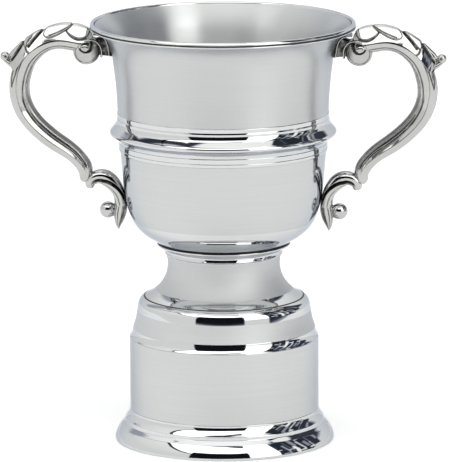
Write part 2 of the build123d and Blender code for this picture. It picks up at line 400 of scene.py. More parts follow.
def bright_pewter():
    """Bright lower wall of the bowl and wall of the plinth."""
    tones = (0.515, 0.525, 0.525), (0.595, 0.605, 0.605)
    return turned_metal("bright_pewter", tones, (0.07, 0.12), 0.45, 2200, 0.06)


def polished_pewter():
    """Mouldings polished to a mirror."""
    tones = (0.62, 0.63, 0.63), (0.65, 0.66, 0.66)
    return turned_metal("polished_pewter", tones, (0.03, 0.06), 0.0, 1500, 0.01)


def painted_shade_pewter():
    """Painted shade: near-black colour laid on grooves and seams of the turned parts, where shadow and dark
    reflections fall.
    """
    material, tree, shader = new_material("painted_shade_pewter")
    shade_mottle = cloudy(tree, 900, 3)
    fill(shader, {
        "Metallic": 0.6,
        "Base Color": tinted(tree, shade_mottle, (0.02, 0.02, 0.022), (0.06, 0.058, 0.056)),
        "Roughness": spread(tree, shade_mottle, 0.3, 0.7, 0.4, 0.6),
    })
    bumped(tree, shade_mottle, 0.1, 0.00003, shader)
    return material


def cast_pewter():
    """Polished castings with painted shade: colour darkened towards near black in hollows, on shaded sides
    and where dark reflections fall.
    """
    material, tree, shader = new_material("cast_pewter")
    # painted shade: each casting's marks mix its colour towards near black, made uneven by noise
    shade_paint = add(tree, "ShaderNodeAttribute", attribute_name="shade_paint")
    shade_blotches = cloudy(tree, 420, 4)
    uneven = calculate(tree, "MULTIPLY", shade_paint.outputs["Fac"], spread(tree, shade_blotches, 0.3, 0.6, 0.75, 1.2))
    uneven.node.use_clamp = True
    bright = tinted(tree, cloudy(tree, 90, 3), (0.46, 0.46, 0.447), (0.56, 0.56, 0.547))
    mix = add(tree, "ShaderNodeMix", data_type="RGBA")
    fill(mix, {"Factor": uneven, 6: bright, 7: (0.03, 0.028, 0.027, 1)})
    fill(shader, {
        "Metallic": 1.0,
        "Specular Tint": (0.84, 0.87, 0.92, 1),
        "Base Color": mix.outputs[2],
        "Roughness": spread(tree, uneven, 0.0, 1.0, 0.08, 0.45),
    })
    bumped(tree, cloudy(tree, 260, 3), 0.12, 0.00012, shader)
    return material


def plated_steel():
    """Zinc-plated fixings inside the plinth."""
    material, tree, shader = new_material("plated_steel")
    grain = cloudy(tree, 700, 4)
    fill(shader, {
        "Metallic": 1.0,
        "Base Color": tinted(tree, grain, (0.5, 0.51, 0.54), (0.64, 0.64, 0.62)),
        "Roughness": spread(tree, grain, 0.3, 0.7, 0.3, 0.48),
    })
    bumped(tree, grain, 0.15, 0.00004, shader)
    return material


def green_baize():
    """Short woollen nap."""
    material, tree, shader = new_material("green_baize")
    fibres = cloudy(tree, 2600, 5)
    patches = cloudy(tree, 60, 2)
    fill(shader, {
        "Base Color": tinted(tree, fibres, (0.004, 0.03, 0.016), (0.02, 0.095, 0.05)),
        "Roughness": spread(tree, patches, 0.3, 0.7, 0.88, 0.98),
        "Sheen Weight": 0.5,
        "Sheen Roughness": 0.5,
    })
    bumped(tree, fibres, 0.7, 0.0003, shader)
    return material


SATIN = satin_pewter()
BRUSHED = brushed_pewter()
SOFT = soft_pewter()
BRIGHT = bright_pewter()
POLISHED = polished_pewter()
# painted shade for the grooves and seams of the turned parts
PAINTED_SHADE = painted_shade_pewter()
CAST = cast_pewter()
STEEL = plated_steel()
BAIZE = green_baize()


# ---- the cup

WALL = 1.4
FLOOR = 2.0
SEAT_Z = 85.4
SOFT_ABOVE_Z = 141.5            # the wall is soft above the girdle and bright below it
POLISH_BELOW_Z = 95.0
RIM_GROOVE_Z = (178.02, 178.72)
RIM_FACE = 55.8                 # radius outside which the rim wire's groove lies

BOWL_OUTSIDE = [
    (54.9, 178.2), (52.0, 175.9), (49.5, 173.2), (47.9, 170.2), (47.1, 167.2), (46.5, 162.5),
    (45.7, 156.0), (45.2, 150.4), (44.9, 145.0), (44.65, 139.5), (44.2, 132.0), (43.7, 124.0),
    (43.1, 116.5), (42.4, 109.0), (41.2, 102.0), (39.3, 96.2), (37.4, 92.9), (35.4, 90.7),
    (33.4, 89.05), (30.9, 87.5), (28.0, SEAT_Z),
]
WALL_LINE = dense(BOWL_OUTSIDE, 900)


def wall_radius(height):
    """Outside radius of the bowl at a height."""
    return np.interp(height, WALL_LINE[::-1, 1], WALL_LINE[::-1, 0])


def inside_of(points, distance):
    """An outline shifted square to itself, towards the axis."""
    rows = np.array(points, float)
    slope = np.gradient(rows, axis=0)
    slope /= np.hypot(*slope.T)[:, None]
    return rows + distance * np.column_stack([slope[:, 1], -slope[:, 0]])


def cup_bowl():
    """Bowl: brushed inside; soft above the girdle, bright below it, a mirror at the turn."""
    inner = [*inside_of(BOWL_OUTSIDE[:-2], WALL), (26.0, SEAT_Z + FLOOR)]
    outside = thinned(dense(BOWL_OUTSIDE, 3000))
    inside = thinned(dense(inner, 3000))[::-1]
    spans = [
        *line((0, SEAT_Z), outside[-1]),
        outside[::-1],
        *line(outside[0], inside[-1]),
        inside[::-1],
        *line(inside[0], (0, SEAT_Z + FLOOR)),
    ]

    def finish(radius, height):
        if radius <= wall_radius(height) - 0.5 * WALL:
            return 0
        return 3 if height < POLISH_BELOW_Z else 2 if height < SOFT_ABOVE_Z else 1

    lathe("cup_bowl", spans, [BRUSHED, SOFT, BRIGHT, POLISHED], finish)


def rim_wire():
    """Polished wire closed over the lip, with a groove round its face painted near black as shade."""
    spans = [
        curve((56.2, 179.37), (55.95, 179.72), (55.33, 179.94), (54.72, 179.72), (54.38, 179.0)),
        *line((54.38, 179.0), (54.4, 178.0)),
        curve((54.4, 178.0), (54.7, 177.55), (55.2, 177.32), (55.7, 177.26)),
        curve((55.7, 177.26), (56.05, 177.32), (56.32, 177.5), (56.4, 177.75), (56.36, 178.0)),
        *line((56.36, 178.0), (56.02, 178.12), (55.96, 178.35), (56.02, 178.6), (56.38, 178.74)),
        curve((56.38, 178.74), (56.38, 178.95), (56.2, 179.37)),
    ]

    # the groove on the wire's face gets the painted shade material
    def finish(radius, height):
        return 1 if radius > RIM_FACE and RIM_GROOVE_Z[0] < height < RIM_GROOVE_Z[1] else 0

    lathe("rim_wire", spans, [POLISHED, PAINTED_SHADE], finish)


def girdle_band():
    """Moulded belt: band, two coves, a nosing, and a flat with two scribed lines."""
    spans = [
        *line((44.7, 141.85), (45.02, 141.55), (45.03, 141.2), (44.96, 140.1)),
        curve((44.96, 140.1), (44.99, 139.85), (45.06, 139.6), (45.18, 139.34)),
        *line((45.18, 139.34), (45.17, 138.9)),
        curve(
            (45.17, 138.9), (45.19, 138.5), (45.25, 138.1), (45.42, 137.5), (45.68, 136.85),
            (46.05, 136.25), (46.5, 135.7), (47.05, 135.05), (47.55, 134.45), (47.92, 133.95),
            (48.12, 133.5), (48.18, 133.1), (48.08, 132.7), (47.75, 132.3), (47.15, 131.85),
            (46.25, 131.25), (45.4, 130.55), (44.8, 129.8), (44.5, 129.25), (44.42, 128.95),
        ),
        *line((44.42, 128.95), (44.24, 128.8), (44.42, 128.62), (44.34, 126.7), (44.14, 126.55)),
        *line((44.14, 126.55), (44.34, 126.38), (44.28, 125.2), (43.95, 124.9), (43.3, 125.2)),
        *line((43.3, 125.2), (43.8, 141.4), (44.7, 141.85)),
    ]
    lathe("girdle_band", spans, [POLISHED])


# ---- the pedestal

BOSS_HOLE = 7.4
COLLAR_LOW_Z = 84.1
# the collar is painted dark as shade beyond this radius and height
COLLAR_SEAM = (27.4, 84.95)     # radius and height beyond which the collar is dark
SHOULDER_SEAM_Z = 61.98
STEM_SATIN_Z = (64.6, 79.9)
COVE_SATIN_Z = (48.4, 56.85)


def stem_collar():
    """Flat ring under the bowl, with a rounded edge and painted shade along the seam at its top."""
    low, high, edge = COLLAR_LOW_Z, SEAT_Z, 27.75
    middle = 0.5 * (low + high)
    spans = [
        *line((BOSS_HOLE, low), (edge, low)),
        arc((edge, middle), middle - low, -90, 90),
        *line((edge, high), (BOSS_HOLE, high), (BOSS_HOLE, low)),
    ]

    # the collar's top seam gets the painted shade material
    def finish(radius, height):
        return 1 if radius > COLLAR_SEAM[0] and height > COLLAR_SEAM[1] else 0

    lathe("stem_collar", spans, [POLISHED, PAINTED_SHADE], finish)


def stem():
    """Waisted stem with a fine bead near its top, satin at the waist and polished at its ends."""
    spans = [
        curve(
            (26.3, COLLAR_LOW_Z), (25.7, 83.35), (25.15, 82.8), (24.85, 82.35), (24.76, 82.05),
            (24.77, 81.85), (24.82, 81.6), (24.9, 81.3), (25.0, 81.05), (25.12, 80.8), (25.19, 80.68),
        ),
        curve(
            (25.19, 80.68), (24.75, 80.45), (24.42, 79.8), (24.15, 78.8), (23.9, 77.2), (23.86, 75.8),
            (24.02, 74.4), (24.35, 72.6), (24.95, 70.7), (25.75, 69.1), (26.9, 67.3), (28.4, 65.6),
            (30.1, 64.2), (32.0, 63.0), (33.7, 62.2),
        ),
        *line((33.7, 62.2), (30.6, 62.2)),
        curve((30.6, 62.2), (27.0, 64.6), (23.9, 69.2), (22.5, 75.9), (23.4, 82.4)),
        *line((23.4, 82.4), (BOSS_HOLE, 82.4), (BOSS_HOLE, COLLAR_LOW_Z), (26.3, COLLAR_LOW_Z)),
    ]

    def finish(radius, height):
        return 0 if STEM_SATIN_Z[0] <= height <= STEM_SATIN_Z[1] else 1

    lathe("stem", spans, [SATIN, POLISHED], finish)


PLINTH_RADIUS = 40.36
PLINTH_TOP_Z = 44.5
PLINTH_FOOT_Z = 13.7


def shoulder():
    """Painted shade at the seam with the stem, polished dome, satin cove, and a polished flare to the
    plinth.
    """
    spans = [
        curve(
            (33.7, 62.2), (34.4, 61.85), (35.05, 61.4), (35.6, 60.95), (36.05, 60.4), (36.4, 59.8),
            (36.66, 59.1), (36.84, 58.2), (36.97, 57.0), (37.12, 55.9), (37.3, 54.6), (37.55, 52.9),
            (37.85, 51.6), (38.25, 50.3), (38.65, 49.15), (38.9, 48.35),
        ),
        curve((38.9, 48.35), (39.0, 47.6), (39.25, 46.6), (39.62, 45.7), (40.05, 45.0), (40.3, 44.68)),
        *line((40.3, 44.68), (PLINTH_RADIUS, PLINTH_TOP_Z), (38.0, PLINTH_TOP_Z), (37.0, 48.5)),
        *line((37.0, 48.5), (35.6, 56.0), (34.6, 58.6), (32.0, 60.6), (30.6, 60.6), (30.6, 62.2)),
        *line((30.6, 62.2), (33.7, 62.2)),
    ]

    def finish(radius, height):
        # above the seam the shoulder gets the painted shade material
        if height > SHOULDER_SEAM_Z:
            return 2
        return 0 if COVE_SATIN_Z[0] < height < COVE_SATIN_Z[1] else 1

    lathe("shoulder", spans, [SATIN, POLISHED, PAINTED_SHADE], finish)


def plinth_band():
    """Plain wall of the plinth."""
    inner = PLINTH_RADIUS - WALL
    spans = line(
        (PLINTH_RADIUS, PLINTH_FOOT_Z), (PLINTH_RADIUS, PLINTH_TOP_Z), (inner, PLINTH_TOP_Z),
        (inner, PLINTH_FOOT_Z), (PLINTH_RADIUS, PLINTH_FOOT_Z),
    )
    lathe("plinth_band", spans, [BRIGHT])


def foot_moulding():
    """Polished foot: a flare, a narrow upright, and a slope that rounds over to the table."""
    spans = [
        *line((35.0, PLINTH_FOOT_Z), (PLINTH_RADIUS, PLINTH_FOOT_Z)),
        curve(
            (PLINTH_RADIUS, PLINTH_FOOT_Z), (40.38, 12.95), (40.44, 12.61), (40.57, 12.2), (40.74, 11.79),
            (40.94, 11.39), (41.17, 11.0), (41.42, 10.61), (41.69, 10.22), (41.97, 9.84), (42.4, 9.3),
        ),
        *line((42.4, 9.3), (42.47, 7.75)),
        curve((42.47, 7.75), (43.05, 7.25), (43.65, 6.72), (44.2, 6.22)),
        curve(
            (44.2, 6.22), (44.5, 5.81), (44.8, 5.4), (45.1, 4.98), (45.4, 4.5), (45.72, 3.93),
            (46.0, 3.4), (46.25, 2.87), (46.46, 2.3), (46.64, 1.7), (46.76, 1.2), (46.8, 0.8),
        ),
        *line((46.8, 0.8), (46.6, 0.02), (44.0, 0.02), (44.0, 2.4), (42.6, 2.4), (41.0, 8.0), (39.2, 11.5)),
        *line((39.2, 11.5), (35.0, 11.5), (35.0, PLINTH_FOOT_Z)),
    ]
    lathe("foot_moulding", spans, [POLISHED])


# ---- distances in the handle's plane

def closed_curve(points, count=160):
    """Smooth closed line through a few points."""
    three_times_round = dense(list(points) * 3, 3 * count)
    return three_times_round[count:2 * count]


def distance_to_run(points, a, b):
    """Distance from points to the straight run from a to b."""
    run = b - a
    t = np.clip(((points - a) @ run) / max(run @ run, 1e-12), 0, 1)
    return np.hypot(*(points - a - t[:, None] * run).T)


def distance_to_line(points, path):
    """Distance from points to an open line."""
    return np.min([distance_to_run(points, a, b) for a, b in zip(path[:-1], path[1:])], axis=0)


def signed_distance(points, outline):
    """Distance from points to a closed outline, positive inside."""
    nearest = distance_to_line(points, np.vstack([outline, outline[:1]]))
    inside = np.zeros(len(points), bool)
    for a, b in zip(outline, np.roll(outline, -1, axis=0)):
        crosses = (a[1] > points[:, 1]) != (b[1] > points[:, 1])
        rise = b[1] - a[1] if abs(b[1] - a[1]) > 1e-12 else 1e-12
        inside ^= crosses & (points[:, 0] < a[0] + (b[0] - a[0]) * (points[:, 1] - a[1]) / rise)
    return np.where(inside, nearest, -nearest)


# ---- handle skins, on +X

# stations of the main scroll: radius, height, thickness, width
RAIL = [
    (60.0, 169.6, 5.6, 7.4), (64.0, 170.5, 6.4, 8.4), (69.0, 171.1, 6.3, 8.4), (74.6, 170.0, 6.3, 8.4),
    (79.4, 167.2, 7.2, 8.4), (83.2, 163.2, 8.1, 8.4), (85.4, 158.2, 8.5, 8.4), (86.6, 152.0, 8.6, 8.4),
    (85.7, 145.0, 8.6, 8.4), (82.5, 138.6, 8.5, 8.4), (77.2, 132.8, 8.3, 8.4), (71.0, 127.9, 8.0, 8.4),
    (65.1, 123.9, 7.3, 8.0), (60.9, 119.8, 6.8, 7.6), (58.8, 115.6, 6.2, 7.2), (59.0, 112.8, 4.8, 6.4),
]

ACROSS = np.cos(np.linspace(0, math.pi, 76))    # from the outer edge of a bar to its inner edge
BEVEL_SHARE = 0.7                              # of a flute's width, the rest is its steep side
SIDE_SHADE_PAINT = 0.55                              # painted shade on the narrow sides of a bar
ROLL_SHADE_PAINT = 0.34                              # painted shade on the inner roll beside a flute


def ribbed_section(flute, creases, squareness):
    """Half of a bar's section over ACROSS, and how much painted shade each point of it gets.

    flute is (low, high, depth, dark, step): a bevel deepens from high, its outer side, and a
    steep side comes back up at low to an inner roll that lies lower by step of that depth.
    creases are (place, half width, depth, dark) of narrow lines.
    """
    low, high, depth, dark, step = flute
    half = (1 - np.abs(ACROSS)**squareness)**(1 / squareness)
    place = (high - ACROSS) / max(high - low, 1e-3)
    in_bed = (place > 0) & (place < 1)
    falling = np.clip(place / BEVEL_SHARE, 0, 1)
    rising = step + (1 - step) * np.clip((1 - place) / (1 - BEVEL_SHARE), 0, 1)
    hollow = depth * np.minimum(falling, rising) * np.where(place >= 1, half, 1.0)
    fullness = min(1.0, depth / 0.12)
    # painted shade along the flute's edges, in its bed, on the bar's sides and on the inner roll
    rim = np.exp(-((place - 0.01) / 0.045)**2)
    corner = np.exp(-((place - 0.86) / 0.15)**4)
    mark = fullness * np.maximum(0.8 * rim, 0.97 * corner)
    mark = np.maximum(mark, fullness * dark * in_bed)
    mark = np.maximum(mark, SIDE_SHADE_PAINT * np.clip((np.abs(ACROSS) - 0.93) / 0.04, 0, 1))
    mark = np.maximum(mark, ROLL_SHADE_PAINT * min(1.0, 1.5 * step) * fullness * (place >= 0.95))
    for where, reach, cut, shade in creases:
        groove = np.exp(-((ACROSS - where) / reach)**2)
        hollow = hollow + cut * groove
        mark = np.maximum(mark, shade * groove)
    return half - hollow, mark


def bar(stations, flute, creases=(), noses=(0.0, 0.0), count=200, squareness=2.6):
    """Skin of a bar along stations (radius, height, thickness, width).

    flute holds rows (place, low, high, depth, dark, step) with place from 0 to 1 along the bar, and
    each crease holds rows (place, position, half width, depth, dark). Beyond its rows a table
    stays level. noses are the lengths of the rounded ends.
    """
    rows = dense(stations, count)
    heading = np.gradient(rows[:, :2], axis=0)
    heading /= np.hypot(*heading.T)[:, None]
    steps = [(i, 0.0, 1.0) for i in range(count)]
    nose_turns = np.radians(np.linspace(12, 84, 7))
    if noses[0] > 0:
        steps = [(0, -noses[0] * math.sin(a), math.cos(a)) for a in nose_turns[::-1]] + steps
    if noses[1] > 0:
        steps += [(count - 1, noses[1] * math.sin(a), math.cos(a)) for a in nose_turns]

    def at(table, place):
        table = np.array(table, float)
        return [np.interp(place, table[:, 0], column) for column in table.T[1:]]

    rings, marks = [], []
    for i, beyond, shrink in steps:
        place = i / (count - 1)
        lines = [at(crease, place) for crease in creases]
        half, mark = ribbed_section(at(flute, place), lines, squareness)
        across = np.concatenate([ACROSS, ACROSS[-2:0:-1]])
        half = np.concatenate([half, -half[-2:0:-1]])
        out = np.array([-heading[i, 1], heading[i, 0]])
        thickness, width = rows[i, 2] * shrink, rows[i, 3] * shrink
        flat = rows[i, :2] + beyond * heading[i] + np.outer(across * thickness / 2, out)
        rings.append(np.column_stack([flat[:, 0], half * width / 2, flat[:, 1]]))
        marks.append(np.concatenate([mark, mark[-2:0:-1]]))
    return tube(rings, marks)


PLAIN = [(0, -0.2, 0.2, 0, 0, 0)]     # the flute row of a bar that has none


def ball(centre, radius):
    """Skin of a ball centred in the handle's plane."""
    around, rings = 48, []
    turn = np.linspace(0, 2 * math.pi, around, endpoint=False)
    for polar in np.linspace(0.04, math.pi - 0.04, 30):
        rings.append(np.column_stack([
            centre[0] + radius * math.sin(polar) * np.cos(turn),
            radius * math.sin(polar) * np.sin(turn),
            np.full(around, centre[1] + radius * math.cos(polar)),
        ]))
    return tube(rings, [np.zeros(around)] * len(rings))


def handle_rail():
    """Main scroll: smooth over the arch, then a wide rib, a bevel and a lower inner roll."""
    flute = [
        (0.45, -0.34, 0.16, 0.0, 0.0, 0.7), (0.51, -0.36, 0.24, 0.14, 0.0, 0.8),
        (0.57, -0.36, 0.28, 0.24, 0.0, 0.8), (0.72, -0.34, 0.26, 0.245, 0.0, 0.8),
        (0.86, -0.34, 0.22, 0.235, 0.0, 0.8), (0.93, -0.26, 0.08, 0.17, 0.0, 0.7),
        (0.965, -0.14, 0.0, 0.05, 0.0, 0.4), (1.0, -0.12, -0.02, 0.0, 0.0, 0.0),
    ]
    # the creases below are cut in and painted dark as shade
    under_leaf = [
        (0.0, 0.7, 0.06, 0.05, 0.8), (0.22, 0.72, 0.06, 0.05, 0.8), (0.32, 0.38, 0.06, 0.06, 0.9),
        (0.42, 0.26, 0.04, 0.04, 0.5), (0.5, 0.24, 0.03, 0.01, 0.2), (0.52, 0.24, 0.03, 0.0, 0.0),
    ]
    inner_line = [
        (0.0, -0.4, 0.05, 0.05, 0.7), (0.22, -0.44, 0.05, 0.05, 0.7), (0.4, -0.42, 0.07, 0.08, 0.9),
        (0.5, -0.36, 0.06, 0.05, 0.8), (0.56, -0.34, 0.04, 0.0, 0.0),
    ]
    # the two sides of a drop-shaped sinking below the leaf
    drop_outside = [
        (0.32, 0.8, 0.05, 0.0, 0.0), (0.335, 0.84, 0.05, 0.06, 0.9), (0.38, 0.84, 0.05, 0.08, 1.0),
        (0.425, 0.7, 0.05, 0.06, 0.9), (0.435, 0.66, 0.03, 0.0, 0.0),
    ]
    drop_inside = [
        (0.31, 0.6, 0.05, 0.0, 0.0), (0.33, 0.56, 0.07, 0.08, 1.0), (0.37, 0.52, 0.06, 0.08, 1.0),
        (0.425, 0.66, 0.05, 0.06, 0.9), (0.435, 0.66, 0.03, 0.0, 0.0),
    ]
    creases = [under_leaf, inner_line, drop_outside, drop_inside]
    return bar(RAIL, flute, creases, noses=(1.0, 2.3), count=330)


VOLUTE_CENTRE = (57.8, 167.2)
VOLUTE_RADIUS = 5.7
VOLUTE_HALF_WIDTH = 4.5
# The hook cut into each face, as (half width, points) about the volute's centre.
VOLUTE_HOOK = [
    (0.8, [(-2.5, 4.4), (-2.6, 3.2), (-2.4, 2.0)]),
    (0.55, [(-2.4, 2.2), (-1.9, 1.0), (-1.1, 0.3)]),
    (0.32, [(-1.2, 0.35), (-0.2, -0.1), (1.0, 0.0)]),
    (0.26, [(1.0, 0.0), (2.3, 0.9), (2.7, 2.3), (2.0, 3.5)]),
]
VOLUTE_BUTTON = [(-0.6, 1.5), (0.5, 1.9), (1.4, 1.7)]


def handle_volute():
    """Curled end of the scroll: a thick disc, each face with a hook round a button."""
    around, inward = 150, 70
    turn = np.linspace(0, 2 * math.pi, around, endpoint=False)
    rim_turn = np.linspace(0.0, 1.0, 10)[1:] * math.pi / 2
    share = np.concatenate([np.linspace(0.02, 0.86, inward), 0.86 + 0.14 * np.sin(rim_turn)])
    rings, marks = [], []
    for face in (1, -1):
        for rho in (share if face == 1 else share[::-1]):
            flat = VOLUTE_RADIUS * rho * np.column_stack([np.cos(turn), np.sin(turn)])
            hook = np.zeros(around)
            for half_width, points in VOLUTE_HOOK:
                gap = distance_to_line(flat, dense(points, 30))
                hook = np.maximum(hook, np.exp(-(gap / half_width)**4))
            button = np.exp(-(distance_to_line(flat, dense(VOLUTE_BUTTON, 20)) / 0.95)**4)
            ring = math.exp(-((rho - 0.8) / 0.035)**2)
            edge = math.sqrt(max(0.0, 1 - (max(rho - 0.86, 0) / 0.14)**2))
            dome = 0.96 - 0.14 * rho**2
            relief = dome - 0.05 * ring - 0.16 * hook + 0.06 * button
            height = VOLUTE_HALF_WIDTH * relief * (0.3 + 0.7 * edge)
            rings.append(np.column_stack([
                VOLUTE_CENTRE[0] + flat[:, 0],
                face * height,
                VOLUTE_CENTRE[1] + flat[:, 1],
            ]))
            # painted shade: darker towards the socket, along the ring and in the hook
            to_socket = np.clip((-flat[:, 0] - 2.0) / 3.0, 0, 1)
            shade = np.maximum(0.12 + 0.66 * to_socket, 0.55 * ring)
            marks.append(np.maximum(hook, shade))
    return tube(rings, marks)


def ribbon(points, half_thickness, half_width):
    """Skin of a narrow raised band that follows points in the handle's plane."""
    stations = [(r, z, 2 * half_thickness, 2 * half_width) for r, z in points]
    return bar(stations, PLAIN, noses=(0.4, 0.4), count=60)


def handle_socket():
    """Bracket from the volute to the wall, pinched at its sides, with two raised bands."""
    start_radius, count, around = 55.0, 24, 72
    turn = np.linspace(0, 2 * math.pi, around, endpoint=False)
    rings, marks = [], []
    for q in np.linspace(0, 1, count):
        low, high = 165.9 - 1.0 * q, 172.6 + 2.0 * q**1.5
        middle, reach = 0.5 * (low + high), 0.5 * (high - low)
        up = np.sign(np.sin(turn)) * np.abs(np.sin(turn))**0.5
        side = np.sign(np.cos(turn)) * np.abs(np.cos(turn))**0.5
        half_width = 3.7 - 0.9 * math.sin(math.pi * q) + 0.9 * q
        height = middle + reach * up
        end = np.sqrt(wall_radius(height)**2 - half_width**2) - 0.6
        radius = start_radius + (end - start_radius) * q
        rings.append(np.column_stack([radius, half_width * side, height]))
        # the whole bracket is painted dark as the shade of the deep hollow between bowl and volute
        marks.append(np.full(around, 0.84))
    first = [
        (60.0, 172.0), (55.9, 172.4), (53.6, 171.8), (52.1, 170.3), (51.3, 168.3), (51.2, 166.3),
        (51.4, 165.1),
    ]
    second = [(54.6, 174.6), (51.8, 174.3), (50.0, 173.2), (48.9, 171.2), (48.3, 168.6), (47.9, 165.6)]
    return together([tube(rings, marks), ribbon(first, 0.55, 4.7), ribbon(second, 0.5, 4.9)])


# The acanthus leaf: its top line, the line where it meets the rail, the lines cut into it
# and painted dark as shade, as (half width, darkness, points), and the outlines of its lobes.
LEAF_TOP = [
    (55.6, 175.2), (57.4, 176.9), (59.6, 178.0), (62.6, 178.7), (66.8, 179.0), (70.4, 178.5),
    (75.3, 176.9), (79.2, 175.2), (82.2, 173.3), (85.0, 171.2), (88.2, 168.1), (90.4, 165.6),
    (91.2, 163.2),
]
LEAF_FOOT = [
    (54.8, 172.4), (57.0, 171.6), (60.2, 171.3), (64.5, 171.9), (69.6, 172.4), (74.7, 171.4),
    (79.8, 168.5), (82.2, 166.6), (84.3, 164.4), (85.9, 162.2), (87.2, 160.4), (88.2, 159.4),
    (89.4, 159.6),
]
LEAF_LINES = [
    (0.48, 1.0, [(75.6, 177.2), (77.8, 174.7), (79.9, 172.4), (82.3, 169.4)]),
    (0.22, 0.8, [(73.6, 173.9), (71.2, 174.8), (69.6, 175.5), (66.2, 177.2), (63.6, 178.8)]),
    (0.42, 0.9, [(84.3, 173.4), (84.7, 171.0), (86.3, 168.0), (88.3, 165.0), (89.8, 163.2)]),
    (0.3, 0.8, [(66.3, 176.2), (64.0, 173.8), (60.8, 172.5), (57.5, 173.2)]),
    (0.4, 0.8, [(83.8, 169.0), (83.0, 167.4), (82.2, 166.9)]),
]
LEAF_LOBES = [
    [
        (91.0, 166.4), (89.2, 168.4), (87.1, 170.8), (84.6, 173.2), (84.8, 171.2), (86.5, 168.2),
        (88.4, 165.3), (90.0, 163.5), (91.0, 164.3),
    ],
    [
        (83.8, 169.1), (84.3, 170.5), (83.4, 172.9), (82.2, 174.8), (79.2, 176.8), (75.5, 178.2),
        (76.4, 176.4), (79.8, 172.7), (82.0, 170.3),
    ],
    [
        (75.9, 174.2), (75.2, 176.3), (73.6, 178.1), (70.5, 179.8), (67.0, 180.4), (62.8, 180.0),
        (64.2, 178.1), (66.4, 176.3), (69.2, 174.6), (71.7, 173.5), (74.5, 173.2),
    ],
    [
        (66.0, 176.0), (64.4, 177.7), (62.2, 179.8), (59.1, 179.3), (56.2, 178.0), (56.2, 175.9),
        (57.9, 173.6), (60.8, 172.9), (63.8, 174.0),
    ],
]
LOBE_HEIGHT = 0.4
LOBE_EDGE = 0.55
SIDE_TILT = (25.0, 31.0)      # of the leaf's sides, from the foot line to the ridge, in degrees
END_TILT = 13.0               # more of it towards the outer end
RIDGE_AT = 0.9                # where the side turns over into the ridge


def acanthus_leaf():
    """Leaf over the top of the rail: a ridge with sloping sides that carry flat lobes."""
    along, across = 320, 76
    top = dense(LEAF_TOP, along)
    foot = dense(LEAF_FOOT, along)
    place = np.linspace(0, 1, along)
    ridge_width = np.interp(place, [0, 0.15, 0.5, 0.85, 1.0], [1.6, 1.7, 1.6, 1.2, 0.7])
    level = np.linspace(0, RIDGE_AT, 60)
    tilt = np.interp(level, [0, RIDGE_AT], SIDE_TILT)
    extra = END_TILT * np.interp(place, [0.55, 0.8], [0, 1])
    over = np.linspace(0, math.pi / 2, across - 59)[1:]
    levels = np.concatenate([level, RIDGE_AT + (1 - RIDGE_AT) * np.sin(over)])[::-1]
    grid = np.zeros((along, across, 3))
    for i in range(along):
        height = np.hypot(*(top[i] - foot[i]))
        rise = np.tan(np.radians(tilt + extra[i]))
        run = np.concatenate([[0], np.cumsum(0.5 * (rise[1:] + rise[:-1]) * np.diff(level))])
        side = ridge_width[i] + height * (run[-1] - run)
        ridge = ridge_width[i] * np.cos(over)
        flat = foot[i] + np.outer(levels, top[i] - foot[i])
        grid[i, :, 0] = flat[:, 0]
        grid[i, :, 1] = np.concatenate([side, ridge])[::-1]
        grid[i, :, 2] = flat[:, 1]
    normal = np.cross(np.gradient(grid, axis=0), np.gradient(grid, axis=1))
    normal /= np.maximum(np.linalg.norm(normal, axis=2), 1e-9)[:, :, None]
    if normal[along // 2, across - 1, 1] < 0:
        normal = -normal
    flat = grid[:, :, [0, 2]].reshape(-1, 2)
    swell = np.zeros(len(flat))
    dark = np.zeros(len(flat))
    for lobe in LEAF_LOBES:
        depth = signed_distance(flat, closed_curve(lobe))
        rise = np.clip(depth / LOBE_EDGE, 0, 1)
        swell = np.maximum(swell, LOBE_HEIGHT * np.sqrt(1 - (1 - rise)**2))
        # painted shade along the lobes' edges and in the cut lines
        dark = np.maximum(dark, np.exp(-((depth + 0.02) / 0.17)**2))
    for half_width, shade, points in LEAF_LINES:
        gap = distance_to_line(flat, dense(points, 60))
        groove = np.exp(-(gap / half_width)**4)
        dark = np.maximum(dark, shade * groove)
        swell -= 0.3 * groove
    swell = swell.reshape(along, across)
    dark = dark.reshape(along, across)
    grid += normal * swell[:, :, None]
    grid[:, 0, 1] = 0
    rings = np.concatenate([grid[:, ::-1], grid[:, 1:] * [1, -1, 1]], axis=1)
    marks = np.concatenate([dark[:, ::-1], dark[:, 1:]], axis=1)
    return tube(rings, marks)


def leaf_curl():
    """Rolled tip of the leaf: a tapered tongue that turns up to a bead with a dented eye painted dark as a
    reflection.
    """
    tongue = [
        (87.8, 159.8, 2.6, 5.0), (89.6, 160.9, 2.3, 4.4), (91.3, 162.0, 1.9, 3.6),
        (92.6, 162.9, 1.5, 3.0),
    ]
    centre = (92.65, 164.6)
    points, faces, marks = ball(centre, 2.05)
    gap = np.hypot(points[:, 0] - centre[0] + 0.35, points[:, 2] - centre[1] - 0.1)
    # painted reflection: the eye is dented and painted dark
    eye = np.exp(-(gap / 0.62)**4)
    points[:, 1] *= 1 - 0.25 * eye
    stalk = bar(tongue, PLAIN, noses=(0.6, 0.6), count=40)
    return together([stalk, (points, faces, np.maximum(marks, eye))])


